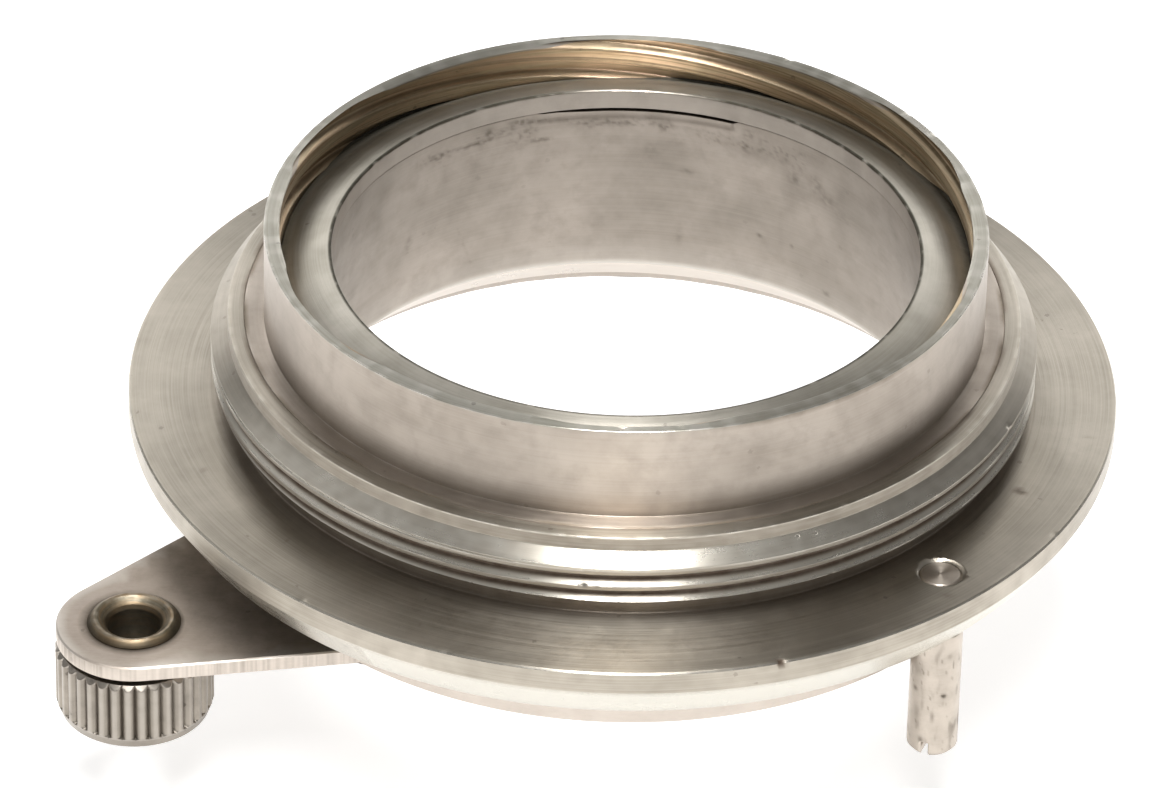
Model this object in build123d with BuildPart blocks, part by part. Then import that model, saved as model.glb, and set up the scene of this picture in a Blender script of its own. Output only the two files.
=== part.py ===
"""Focusing mount for an enlarger lens.

A flanged mount with a threaded neck carries a multi-start helicoid.  A tube
with a matching helicoid screws up and down in it when a flat lever arm with a
knurled knob is swung round; a pin under the flange stops the arm.

Frame: millimetres, +Z up along the optical axis, z = 0 is the seating face of
the flange, the neck points to +Z and the lever arm hangs below.
"""
import os
from math import cos, sin, radians
from build123d import *

os.makedirs("parts", exist_ok=True)

# ----------------------------------------------------------------- dimensions
# flange and threaded neck
FLANGE_R = 29.0
FLANGE_TOP_CHAMFER = 0.30
FLANGE_RIM_Z = -1.37          # lower end of the upright rim
FLANGE_UNDER_R = 27.45        # where the lower bevel meets the underside
FLANGE_UNDER_Z = -3.72
NECK_R = 24.15                # over the thread crests
NECK_THREAD_TOP = 3.66
NECK_LEAD_R = 23.16           # small end of the lead-in bevel
NECK_LEAD_Z = 4.26
NECK_TOP_Z = 5.12             # ledge beside the collar
MOUNT_BORE_R = 22.20          # seat of the helicoid collar
MOUNT_SEAT_Z = -0.40          # web the collar stands on
COUNTERBORE_R = 22.70         # room for the foot of the tube

# helicoid collar (fixed, female helicoid)
COLLAR_R = 21.03
COLLAR_TOP_Z = 10.89
COLLAR_EDGE = 0.15
HELICOID_FEMALE_R = 20.35     # mean running diameter, female side
HELICOID_MALE_R = 20.30       # mean running diameter, male side

# helicoid tube (turning and sliding)
DISH_R = 20.0
DISH_EDGE_Z = 8.44
LIP_R = 17.12
LIP_TOP_Z = 9.38
LIP_UNDER_Z = 8.12
TUBE_BORE_R = 19.25
TUBE_FOOT_R = 22.30
TUBE_FOOT_TOP_Z = -3.40

# bore sleeve (tapered liner of the tube)
SLEEVE_R = 19.20
SLEEVE_TOP_Z = 8.05
SLEEVE_TOP_R = 17.25
SLEEVE_LOW_R = 18.82          # taper ends here and the bevel starts
SLEEVE_LOW_Z = -4.00

# lever plate and arm
PLATE_R = 23.75
PLATE_TOP_Z = -6.35
PLATE_BOTTOM_Z = -7.35
PLATE_BEVEL_R = 22.20         # large end of the bevel through tube and plate
PLATE_EDGE = 0.15
KNOB_X = -27.73
KNOB_Y = -16.57
ARM_END_R = 4.50
ARM_NEAR_DIR = 190.7          # direction of each straight side, outwards
ARM_FAR_DIR = 225.5
ARM_INSET = 14.0              # how far the sides are carried into the ring

# knob on its tubular rivet
RIVET_HOLE_R = 1.55
RIVET_R = 1.95
RIVET_LIP_R = 2.72
RIVET_LIP_H = 0.45
RIVET_CREST_R = 2.25
RIVET_FOOT_R = 2.70
RIVET_FOOT_Z = -11.70
KNOB_R = 4.58
KNOB_TOP_R = 4.30
KNOB_TOP_Z = -7.72
KNOB_SHOULDER_Z = -8.00
KNOB_GRIP_END_Z = -11.35
KNOB_BOTTOM_R = 4.30
KNOB_BOTTOM_Z = -12.10
KNOB_BORE_R = 2.00
KNOB_RECESS_R = 3.25
KNOB_RECESS_Z = -10.90
KNURL_COUNT = 36
KNURL_DEPTH = 0.22
WASHER_R = 2.95               # spacer between the arm and the knob
WASHER_T = 0.32
RIVET_FOOT_GAP = 0.05

# stop pin
PIN_X = 18.35
PIN_Y = -18.45
PIN_R = 1.475
PIN_TENON_R = 1.20
PIN_TENON_TOP_Z = -0.06
PIN_END_Z = -12.10
PIN_END_CHAMFER = 0.30
PIN_SLOT_W = 0.50
PIN_SLOT_D = 1.00
PIN_SLOT_DIR = 69.4           # direction of the screwdriver slot
PIN_MOUTH_CHAMFER = 0.22


BEVEL_SLOPE = (PLATE_BEVEL_R - SLEEVE_LOW_R) / (SLEEVE_LOW_Z - PLATE_BOTTOM_Z)


PIN_PLANE = Plane(origin=(PIN_X, PIN_Y, 0), x_dir=(1, 0, 0), z_dir=(0, -1, 0))
PIN_AXIS = Axis((PIN_X, PIN_Y, 0), (0, 0, 1))
KNOB_PLANE = Plane(origin=(KNOB_X, KNOB_Y, 0), x_dir=(1, 0, 0), z_dir=(0, -1, 0))
KNOB_AXIS = Axis((KNOB_X, KNOB_Y, 0), (0, 0, 1))


def bevel_r(z):
    """Radius, at height z, of the bevel at the lower mouth of the bore."""
    return SLEEVE_LOW_R + (SLEEVE_LOW_Z - z) * BEVEL_SLOPE


def bevel_z(r):
    """Height at which the same bevel has the radius r."""
    return SLEEVE_LOW_Z - (r - SLEEVE_LOW_R) / BEVEL_SLOPE


# ------------------------------------------------------------- mount, flange
with BuildPart() as mount_flange:
    with BuildSketch(Plane.XZ):
        with BuildLine():
            Polyline(
                (MOUNT_BORE_R, MOUNT_SEAT_Z),
                (MOUNT_BORE_R, NECK_TOP_Z),
                (NECK_LEAD_R - 0.08, NECK_TOP_Z),
                (NECK_LEAD_R, NECK_TOP_Z - 0.08),
                (NECK_LEAD_R, NECK_LEAD_Z),
                (NECK_R, NECK_THREAD_TOP),
                (NECK_R, 0.0),
                (FLANGE_R - FLANGE_TOP_CHAMFER, 0.0),
                (FLANGE_R, -FLANGE_TOP_CHAMFER),
                (FLANGE_R, FLANGE_RIM_Z),
                (FLANGE_UNDER_R, FLANGE_UNDER_Z),
                (COUNTERBORE_R, FLANGE_UNDER_Z),
                (COUNTERBORE_R, MOUNT_SEAT_Z),
                close=True,
            )
        make_face()
    revolve(axis=Axis.Z)
    # reamed hole for the tenon of the stop pin, chamfered at the mouth
    with BuildSketch(Plane.XY.offset(FLANGE_UNDER_Z)):
        with Locations((PIN_X, PIN_Y)):
            Circle(PIN_TENON_R)
    extrude(amount=-FLANGE_UNDER_Z, mode=Mode.SUBTRACT)
    with Locations((PIN_X, PIN_Y, -PIN_MOUTH_CHAMFER / 2)):
        Cone(PIN_TENON_R, PIN_TENON_R + PIN_MOUTH_CHAMFER, PIN_MOUTH_CHAMFER,
             mode=Mode.SUBTRACT)
mount_flange.part.label = "mount_flange"
export_step(mount_flange.part, "parts/mount_flange.step")

# ------------------------------------------------------------ helicoid collar
with BuildPart() as helicoid_collar:
    with BuildSketch(Plane.XZ):
        with BuildLine():
            Polyline(
                (HELICOID_FEMALE_R, MOUNT_SEAT_Z),
                (MOUNT_BORE_R, MOUNT_SEAT_Z),
                (MOUNT_BORE_R, NECK_TOP_Z),
                (COLLAR_R, NECK_TOP_Z),
                (COLLAR_R, COLLAR_TOP_Z - COLLAR_EDGE),
                (COLLAR_R - COLLAR_EDGE, COLLAR_TOP_Z),
                (HELICOID_FEMALE_R, COLLAR_TOP_Z),
                close=True,
            )
        make_face()
    revolve(axis=Axis.Z)
helicoid_collar.part.label = "helicoid_collar"
export_step(helicoid_collar.part, "parts/helicoid_collar.step")

# ------------------------------------------------------------------- stop pin
with BuildPart() as stop_pin:
    with BuildSketch(PIN_PLANE):
        with BuildLine():
            Polyline(
                (0.0, PIN_TENON_TOP_Z),
                (PIN_TENON_R - 0.12, PIN_TENON_TOP_Z),
                (PIN_TENON_R, PIN_TENON_TOP_Z - 0.12),
                (PIN_TENON_R, FLANGE_UNDER_Z),
                (PIN_R, FLANGE_UNDER_Z),
                (PIN_R, PIN_END_Z + PIN_END_CHAMFER),
                (PIN_R - PIN_END_CHAMFER, PIN_END_Z),
                (0.0, PIN_END_Z),
                close=True,
            )
        make_face()
    revolve(axis=PIN_AXIS)
    with BuildSketch(Plane.XY.offset(PIN_END_Z)):
        with Locations((PIN_X, PIN_Y)):
            Rectangle(4 * PIN_R, PIN_SLOT_W, rotation=PIN_SLOT_DIR)
    extrude(amount=PIN_SLOT_D, mode=Mode.SUBTRACT)
stop_pin.part.label = "stop_pin"
export_step(stop_pin.part, "parts/stop_pin.step")

# -------------------------------------------------------------- helicoid tube
with BuildPart() as helicoid_tube:
    with BuildSketch(Plane.XZ):
        with BuildLine():
            Polyline(
                (LIP_R, LIP_UNDER_Z),
                (LIP_R, LIP_TOP_Z - 0.08),
                (LIP_R + 0.10, LIP_TOP_Z),
                (18.60, 9.02),
                (DISH_R, DISH_EDGE_Z),
                (HELICOID_MALE_R, DISH_EDGE_Z - 0.22),
                (HELICOID_MALE_R, TUBE_FOOT_TOP_Z),
                (TUBE_FOOT_R - 0.15, TUBE_FOOT_TOP_Z),
                (TUBE_FOOT_R, TUBE_FOOT_TOP_Z - 0.15),
                (TUBE_FOOT_R, PLATE_TOP_Z),
                (bevel_r(PLATE_TOP_Z), PLATE_TOP_Z),
                (TUBE_BORE_R, bevel_z(TUBE_BORE_R)),
                (TUBE_BORE_R, LIP_UNDER_Z),
                close=True,
            )
        make_face()
    revolve(axis=Axis.Z)
helicoid_tube.part.label = "helicoid_tube"
export_step(helicoid_tube.part, "parts/helicoid_tube.step")

# ---------------------------------------------------------------- bore sleeve
with BuildPart() as bore_sleeve:
    with BuildSketch(Plane.XZ):
        with BuildLine():
            Polyline(
                (SLEEVE_TOP_R, SLEEVE_TOP_Z),
                (SLEEVE_R - 0.12, SLEEVE_TOP_Z),
                (SLEEVE_R, SLEEVE_TOP_Z - 0.12),
                (SLEEVE_R, bevel_z(SLEEVE_R)),
                (SLEEVE_LOW_R, SLEEVE_LOW_Z),
                close=True,
            )
        make_face()
    revolve(axis=Axis.Z)
bore_sleeve.part.label = "bore_sleeve"
export_step(bore_sleeve.part, "parts/bore_sleeve.step")


# ---------------------------------------------------------------- lever plate
def unit(deg):
    return Vector(cos(radians(deg)), sin(radians(deg)), 0)


knob_centre = Vector(KNOB_X, KNOB_Y, 0)
near_side = knob_centre + unit(ARM_NEAR_DIR + 90) * ARM_END_R
far_side = knob_centre + unit(ARM_FAR_DIR - 90) * ARM_END_R
near_root = near_side - unit(ARM_NEAR_DIR) * ARM_INSET
far_root = far_side - unit(ARM_FAR_DIR) * ARM_INSET
plate_t = PLATE_TOP_Z - PLATE_BOTTOM_Z

with BuildPart() as lever_plate:
    with BuildSketch(Plane.XY.offset(PLATE_BOTTOM_Z)):
        Circle(PLATE_R)
        with Locations((KNOB_X, KNOB_Y)):
            Circle(ARM_END_R)
        with BuildLine():
            Polyline(
                (near_side.X, near_side.Y),
                (near_root.X, near_root.Y),
                (far_root.X, far_root.Y),
                (far_side.X, far_side.Y),
                (KNOB_X, KNOB_Y),
                close=True,
            )
        make_face()
    extrude(amount=plate_t)
    chamfer(lever_plate.faces().sort_by(Axis.Z)[-1].outer_wire().edges(), PLATE_EDGE)
    # conical mouth continuing the bevel of the tube
    with Locations((0, 0, (PLATE_TOP_Z + PLATE_BOTTOM_Z) / 2)):
        Cone(PLATE_BEVEL_R, bevel_r(PLATE_TOP_Z), plate_t, mode=Mode.SUBTRACT)
    # hole for the tubular rivet
    with Locations((KNOB_X, KNOB_Y, (PLATE_TOP_Z + PLATE_BOTTOM_Z) / 2)):
        Cylinder(RIVET_R, 2 * plate_t, mode=Mode.SUBTRACT)
lever_plate.part.label = "lever_plate"
export_step(lever_plate.part, "parts/lever_plate.step")

# --------------------------------------------------------------- knob, eyelet
with BuildPart() as knob_eyelet:
    with BuildSketch(KNOB_PLANE):
        with BuildLine():
            l1 = Polyline(
                (RIVET_R, PLATE_TOP_Z),
                (RIVET_LIP_R, PLATE_TOP_Z),
                (RIVET_LIP_R, PLATE_TOP_Z + 0.12),
            )
            l2 = Spline(
                (RIVET_LIP_R, PLATE_TOP_Z + 0.12),
                (RIVET_CREST_R, PLATE_TOP_Z + RIVET_LIP_H),
                (RIVET_HOLE_R, PLATE_TOP_Z - 0.15),
                tangents=((0, 1), (0, -1)),
            )
            l3 = Polyline(
                (RIVET_HOLE_R, PLATE_TOP_Z - 0.15),
                (RIVET_HOLE_R, RIVET_FOOT_Z + 0.25),
                (RIVET_HOLE_R + 0.25, RIVET_FOOT_Z),
                (RIVET_FOOT_R - 0.12, RIVET_FOOT_Z),
                (RIVET_FOOT_R, RIVET_FOOT_Z + 0.12),
                (RIVET_FOOT_R, KNOB_RECESS_Z - RIVET_FOOT_GAP),
                (RIVET_R, KNOB_RECESS_Z - RIVET_FOOT_GAP),
                (RIVET_R, PLATE_TOP_Z),
            )
        make_face()
    revolve(axis=KNOB_AXIS)
knob_eyelet.part.label = "knob_eyelet"
export_step(knob_eyelet.part, "parts/knob_eyelet.step")

with BuildPart() as rivet_washer:
    with BuildSketch(Plane.XY.offset(PLATE_BOTTOM_Z - WASHER_T)):
        with Locations((KNOB_X, KNOB_Y)):
            Circle(WASHER_R)
            Circle(RIVET_R, mode=Mode.SUBTRACT)
    extrude(amount=WASHER_T)
rivet_washer.part.label = "rivet_washer"
export_step(rivet_washer.part, "parts/rivet_washer.step")

# ----------------------------------------------------------------- focus knob
with BuildPart() as focus_knob:
    with BuildSketch(KNOB_PLANE):
        with BuildLine():
            Polyline(
                (KNOB_BORE_R, KNOB_TOP_Z),
                (KNOB_TOP_R, KNOB_TOP_Z),
                (KNOB_R, KNOB_SHOULDER_Z),
                (KNOB_R, KNOB_GRIP_END_Z),
                (KNOB_BOTTOM_R, KNOB_BOTTOM_Z),
                (KNOB_RECESS_R, KNOB_BOTTOM_Z),
                (KNOB_RECESS_R, KNOB_RECESS_Z),
                (KNOB_BORE_R, KNOB_RECESS_Z),
                close=True,
            )
        make_face()
    revolve(axis=KNOB_AXIS)
    # straight knurl
    with BuildSketch(Plane.XY.offset(KNOB_GRIP_END_Z)):
        with Locations((KNOB_X, KNOB_Y)):
            with PolarLocations(KNOB_R + 0.06, KNURL_COUNT):
                Circle(KNURL_DEPTH)
    extrude(amount=KNOB_TOP_Z - KNOB_GRIP_END_Z, mode=Mode.SUBTRACT)
focus_knob.part.label = "focus_knob"
export_step(focus_knob.part, "parts/focus_knob.step")

for name, solid in (("mount_flange", mount_flange.part),
                    ("helicoid_collar", helicoid_collar.part),
                    ("stop_pin", stop_pin.part),
                    ("helicoid_tube", helicoid_tube.part),
                    ("bore_sleeve", bore_sleeve.part),
                    ("lever_plate", lever_plate.part),
                    ("knob_eyelet", knob_eyelet.part),
                    ("rivet_washer", rivet_washer.part),
                    ("focus_knob", focus_knob.part)):
    print(name, len(solid.solids()), "solid, volume", round(solid.volume, 1),
          "valid", solid.is_valid)
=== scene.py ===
import bpy, bmesh
from math import sin, cos, tan, acos, pi, radians, degrees, atan2, sqrt, hypot, floor, exp
from mathutils import Vector, Matrix
from mathutils.geometry import delaunay_2d_cdt
from mathutils import noise as mnoise


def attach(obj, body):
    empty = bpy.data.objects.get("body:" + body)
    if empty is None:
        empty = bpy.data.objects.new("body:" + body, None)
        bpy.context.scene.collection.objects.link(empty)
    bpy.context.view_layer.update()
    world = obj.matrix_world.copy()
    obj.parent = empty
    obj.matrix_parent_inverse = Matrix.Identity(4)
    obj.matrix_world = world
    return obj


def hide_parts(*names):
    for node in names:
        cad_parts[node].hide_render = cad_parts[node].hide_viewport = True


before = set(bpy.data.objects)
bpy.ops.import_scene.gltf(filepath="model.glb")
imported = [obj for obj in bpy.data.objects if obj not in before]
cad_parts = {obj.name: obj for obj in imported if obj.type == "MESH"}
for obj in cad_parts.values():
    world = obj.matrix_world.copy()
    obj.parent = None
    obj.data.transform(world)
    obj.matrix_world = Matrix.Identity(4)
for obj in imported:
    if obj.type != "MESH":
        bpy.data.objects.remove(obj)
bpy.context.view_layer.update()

MM = 0.001

# ------------------------------------------------------------- driving sizes
# all in millimetres, as in the CAD model
LEAD = 12.0              # helicoid lead, six starts, right-handed
HEL_PHASE = 2.5          # azimuth of a land at the collar's mouth
PITCH = 1.05             # neck thread
E = (-27.73, -16.57)     # rivet and knob axis
PIN = (18.35, -18.45)    # stop pin axis


def smooth(a, b, x):
    t = min(1.0, max(0.0, (x - a) / (b - a)))
    return t * t * (3 - 2 * t)


# ----------------------------------------------------------------- mesh tools
def new_object(name, verts, faces, mat, attrs=None, centre=(0, 0), sharp=32):
    me = bpy.data.meshes.new(name)
    me.from_pydata([(x * MM, y * MM, z * MM) for x, y, z in verts], [], faces)
    me.validate()
    bm = bmesh.new()
    bm.from_mesh(me)
    bmesh.ops.recalc_face_normals(bm, faces=bm.faces)
    bm.to_mesh(me)
    bm.free()
    for k, vals in (attrs or {}).items():
        a = me.attributes.new(k, "FLOAT", "POINT")
        a.data.foreach_set("value", vals)
    me.polygons.foreach_set("use_smooth", [True] * len(me.polygons))
    me.set_sharp_from_angle(angle=radians(sharp))
    ob = bpy.data.objects.new(name, me)
    bpy.context.scene.collection.objects.link(ob)
    me.materials.append(mat)
    if centre != (0, 0):
        # the piece's own axis becomes the object's origin, so that the
        # turning marks of its material run round that axis
        me.transform(Matrix.Translation((-centre[0] * MM, -centre[1] * MM, 0)))
        ob.location = (centre[0] * MM, centre[1] * MM, 0)
    return ob


def resample(pts, step):
    """Divide the runs of a polyline so that none is longer than step(r, z)."""
    out = []
    n = len(pts)
    for i in range(n - 1):
        (r0, z0), (r1, z1) = pts[i], pts[i + 1]
        d = hypot(r1 - r0, z1 - z0)
        s = step((r0 + r1) / 2, (z0 + z1) / 2) if callable(step) else step
        k = max(1, int(d / s + 0.999))
        for j in range(k):
            t = j / k
            out.append((r0 + (r1 - r0) * t, z0 + (z1 - z0) * t))
    out.append(pts[-1])
    return out


def fillet(pts, rad, closed=True, seg=3):
    """Round the corners of a profile. rad is one radius or a list."""
    n = len(pts)
    out = []
    for i in range(n):
        r = rad[i] if isinstance(rad, (list, tuple)) else rad
        if not closed and i in (0, n - 1):
            out.append(pts[i])
            continue
        p0, p1, p2 = pts[i - 1], pts[i], pts[(i + 1) % n]
        a = Vector((p0[0] - p1[0], p0[1] - p1[1]))
        b = Vector((p2[0] - p1[0], p2[1] - p1[1]))
        la, lb = a.length, b.length
        if r <= 0 or la < 1e-6 or lb < 1e-6:
            out.append(p1)
            continue
        a /= la
        b /= lb
        c = max(-1, min(1, a.dot(b)))
        half = acos(c) / 2
        t = min(r / max(1e-6, tan(half)), la * 0.45, lb * 0.45)
        s = Vector(p1) + a * t
        e = Vector(p1) + b * t
        m = Vector(p1)
        for k in range(seg + 1):
            u = k / seg
            q = s * (1 - u) ** 2 + m * 2 * u * (1 - u) + e * u * u
            out.append((q.x, q.y))
    return out


def lathe(name, prof, n, mat, shape=None, mark=None, centre=(0, 0), sharp=32,
          shear=None):
    """Turn a closed profile of (r, z) about the axis. shape(r, z, theta, i)
    returns the displaced (r, z); mark(r, z, theta, r0, z0) returns a dict of
    surface attributes; shear(i) gives each profile row an angle offset."""
    m = len(prof)
    verts, faces = [], []
    attrs = {}
    for i, (r, z) in enumerate(prof):
        off = shear[i] if shear else 0.0
        for j in range(n):
            th = 2 * pi * j / n + off
            rr, zz = shape(r, z, th, i) if shape else (r, z)
            verts.append((centre[0] + rr * cos(th), centre[1] + rr * sin(th), zz))
            if mark:
                for k, v in mark(rr, zz, th, r, z, i).items():
                    attrs.setdefault(k, []).append(v)
    step = 2 * pi / n
    for i in range(m):
        i2 = (i + 1) % m
        k = 0
        if shear:
            k = int(round((shear[i] - shear[i2]) / step))
            # only a wrap of whole steps is matched by index
            if abs(shear[i] - shear[i2]) < step * 40:
                k = 0
        for j in range(n):
            a = i * n + j
            b = i * n + (j + 1) % n
            c = i2 * n + (j + 1 + k) % n
            d = i2 * n + (j + k) % n
            faces.append((a, b, c, d))
    return new_object(name, verts, faces, mat, attrs, centre, sharp)


def dent(ob, x, y, z, radius, depth, direction):
    """Press a small mark into a piece, in millimetres."""
    me = ob.data
    c = Vector((x, y, z)) * MM - ob.location
    d = Vector(direction).normalized()
    r2 = (radius * MM * 3) ** 2
    for v in me.vertices:
        q = (v.co - c).length_squared
        if q < r2:
            v.co += d * depth * MM * exp(-q / (2 * (radius * MM) ** 2) * 2)


# ------------------------------------------------------------- node material
def metal(name, base, dark, light, rough=0.3, aniso=0.75, metallic=1.0,
          turn="face", streak=1.0, bump=0.25, dirt_col=(0.06, 0.045, 0.03),
          dirt_amt=0.9, tarnish=0.35, spots=0.35, seed=0.0, radial=True,
          fine=1.0, worn=(0.77, 0.735, 0.68), line_amt=0.55, hair_amt=0.35,
          tint=None, tint_amt=0.0):
    """Turned or brushed plated brass. turn is 'face' for marks that run in
    circles on flat faces and along walls, 'grain' for straight brushing."""
    m = bpy.data.materials.new(name)
    m.use_nodes = True
    nt = m.node_tree
    nt.nodes.clear()
    N, L = nt.nodes.new, nt.links.new
    out = N("ShaderNodeOutputMaterial")
    bs = N("ShaderNodeBsdfPrincipled")
    L(bs.outputs[0], out.inputs[0])
    bs.inputs["Metallic"].default_value = metallic
    bs.inputs["Anisotropic"].default_value = aniso
    tc = N("ShaderNodeTexCoord")

    def math(op, a, b=None, clamp=False):
        n = N("ShaderNodeMath")
        n.operation = op
        n.use_clamp = clamp
        for i, v in enumerate((a, b)):
            if v is None:
                continue
            if isinstance(v, (int, float)):
                n.inputs[i].default_value = v
            else:
                L(v, n.inputs[i])
        return n.outputs[0]

    def ramp(fac, stops):
        n = N("ShaderNodeValToRGB")
        el = n.color_ramp.elements
        while len(el) < len(stops):
            el.new(0.5)
        for e, (p, c) in zip(el, stops):
            e.position = p
            e.color = (*c, 1) if len(c) == 3 else c
        L(fac, n.inputs[0])
        return n.outputs[0]

    def grey(fac, stops):
        return ramp(fac, [(p, (v, v, v)) for p, v in stops])

    def noise(vec, scale, detail=3.0, rough_=0.55, dim="3D", w=None, lac=2.0):
        n = N("ShaderNodeTexNoise")
        n.noise_dimensions = dim
        n.inputs["Scale"].default_value = scale
        n.inputs["Detail"].default_value = detail
        n.inputs["Roughness"].default_value = rough_
        n.inputs["Lacunarity"].default_value = lac
        if vec is not None:
            L(vec, n.inputs["Vector"])
        if w is not None:
            L(w, n.inputs["W"])
        return n.outputs[0]

    def mix(fac, a, b, mode="MIX"):
        n = N("ShaderNodeMix")
        n.data_type = "RGBA"
        n.blend_type = mode
        for sock, v in ((n.inputs[0], fac), (n.inputs[6], a), (n.inputs[7], b)):
            if isinstance(v, (int, float)):
                sock.default_value = v
            elif isinstance(v, tuple):
                sock.default_value = (*v, 1)
            else:
                L(v, sock)
        return n.outputs[2]

    def attr(nm):
        n = N("ShaderNodeAttribute")
        n.attribute_name = nm
        return n.outputs["Fac"]

    # object coordinates in millimetres
    mp = N("ShaderNodeMapping")
    mp.inputs["Scale"].default_value = (1000, 1000, 1000)
    mp.inputs["Location"].default_value = (seed, seed * 0.7, 0)
    L(tc.outputs["Object"], mp.inputs["Vector"])
    mm = mp.outputs[0]
    sep = N("ShaderNodeSeparateXYZ")
    sc = N("ShaderNodeVectorMath")
    sc.operation = "SCALE"
    sc.inputs["Scale"].default_value = 1000.0
    L(tc.outputs["Object"], sc.inputs[0])
    L(sc.outputs[0], sep.inputs[0])
    X, Y, Z = sep.outputs
    if turn == "face":
        rr = math("SQRT", math("ADD", math("MULTIPLY", X, X), math("MULTIPLY", Y, Y)))
        ux = math("DIVIDE", X, math("ADD", rr, 1e-4))
        uy = math("DIVIDE", Y, math("ADD", rr, 1e-4))
        # marks run round the axis: fast across radius and height, slow round it
        cv = N("ShaderNodeCombineXYZ")
        L(math("MULTIPLY", ux, 1.6 * streak), cv.inputs[0])
        L(math("MULTIPLY", uy, 1.6 * streak), cv.inputs[1])
        L(math("ADD", math("MULTIPLY", rr, 9.0 * fine), math("MULTIPLY", Z, 9.0 * fine)), cv.inputs[2])
        lines = noise(cv.outputs[0], 1.0, 4.0, 0.65)
        cv2 = N("ShaderNodeCombineXYZ")
        L(math("MULTIPLY", ux, 5.0 * streak), cv2.inputs[0])
        L(math("MULTIPLY", uy, 5.0 * streak), cv2.inputs[1])
        L(math("ADD", math("MULTIPLY", rr, 34.0 * fine), math("MULTIPLY", Z, 34.0 * fine)), cv2.inputs[2])
        hair = noise(cv2.outputs[0], 1.0, 2.0, 0.6)
    else:
        mg = N("ShaderNodeMapping")
        mg.inputs["Rotation"].default_value = (0, 0, radians(-streak))
        mg.inputs["Scale"].default_value = (1.2, 9.0, 9.0)
        L(sc.outputs[0], mg.inputs["Vector"])
        lines = noise(mg.outputs[0], 1.0 * fine, 4.0, 0.65)
        mg2 = N("ShaderNodeMapping")
        mg2.inputs["Rotation"].default_value = (0, 0, radians(-streak))
        mg2.inputs["Scale"].default_value = (2.5, 34.0, 34.0)
        L(sc.outputs[0], mg2.inputs["Vector"])
        hair = noise(mg2.outputs[0], 1.0 * fine, 2.0, 0.6)

    cloud = noise(mm, 0.16, 4.0, 0.6)
    cloud2 = noise(mm, 0.75, 5.0, 0.65)
    grain = noise(mm, 7.0, 3.0, 0.6)

    col = mix(grey(cloud, [(0.33, 0.0), (0.68, 1.0)]), base, dark)
    n_t = N("ShaderNodeMath")
    n_t.operation = "MULTIPLY"
    n_t.inputs[1].default_value = tarnish
    L(grey(cloud2, [(0.46, 0.0), (0.72, 1.0)]), n_t.inputs[0])
    col = mix(n_t.outputs[0], col, dark)
    col = mix(math("MULTIPLY", grey(lines, [(0.35, 0.0), (0.75, 1.0)]), line_amt), col, light)
    col = mix(math("MULTIPLY", grey(hair, [(0.30, 1.0), (0.42, 0.0)]), hair_amt), col, dark)
    if tint is not None:
        patch = noise(cv.outputs[0] if turn == "face" else mm, 0.45, 3.0, 0.6)
        col = mix(math("MULTIPLY", grey(patch, [(0.42, 0.0), (0.60, 1.0)]), tint_amt), col, tint)
    # pits and specks
    vo = N("ShaderNodeTexVoronoi")
    vo.inputs["Scale"].default_value = 0.75
    L(mm, vo.inputs["Vector"])
    sp = N("ShaderNodeMath")
    sp.operation = "LESS_THAN"
    sp.inputs[1].default_value = 0.11
    L(math("ADD", vo.outputs["Distance"], math("MULTIPLY", math("SUBTRACT", grain, 0.5), 0.22)), sp.inputs[0])
    keep = math("GREATER_THAN", noise(mm, 0.35, 2.0, 0.5), 0.56)
    spot = math("MULTIPLY", sp.outputs[0], keep)
    col = mix(math("MULTIPLY", spot, spots), col, (0.10, 0.085, 0.07))
    # edge wear and painted highlights, grime and painted shade in corners, grooves and under parts: set on the mesh
    col = mix(math("MULTIPLY", attr("worn"), 0.85), col, worn)
    dirt = math("MULTIPLY", attr("dirt"), math("ADD", 0.62, math("MULTIPLY", cloud2, 0.7)), clamp=True)
    col = mix(math("MULTIPLY", dirt, dirt_amt), col, dirt_col)
    L(col, bs.inputs["Base Color"])

    ro = math("ADD", rough - 0.06, math("MULTIPLY", lines, 0.12))
    ro = math("ADD", ro, math("MULTIPLY", grey(cloud2, [(0.45, 0.0), (0.75, 1.0)]), 0.14 * max(0.3, tarnish)))
    ro = math("ADD", ro, math("MULTIPLY", dirt, 0.25))
    ro = math("SUBTRACT", ro, math("MULTIPLY", attr("worn"), 0.08), clamp=True)
    L(ro, bs.inputs["Roughness"])
    if radial:
        tg = N("ShaderNodeTangent")
        tg.direction_type = "RADIAL"
        tg.axis = "Z"
        L(tg.outputs[0], bs.inputs["Tangent"])
        # turning marks spread the light across themselves, not along
        bs.inputs["Anisotropic Rotation"].default_value = 0.25
    h = math("ADD", math("MULTIPLY", lines, 0.6), math("MULTIPLY", hair, 0.4))
    h = math("SUBTRACT", h, math("MULTIPLY", spot, 0.8))
    h = math("ADD", h, math("MULTIPLY", grain, 0.10))
    bp = N("ShaderNodeBump")
    bp.inputs["Strength"].default_value = bump
    bp.inputs["Distance"].default_value = 0.00004
    L(h, bp.inputs["Height"])
    L(bp.outputs[0], bs.inputs["Normal"])
    return m


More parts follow.
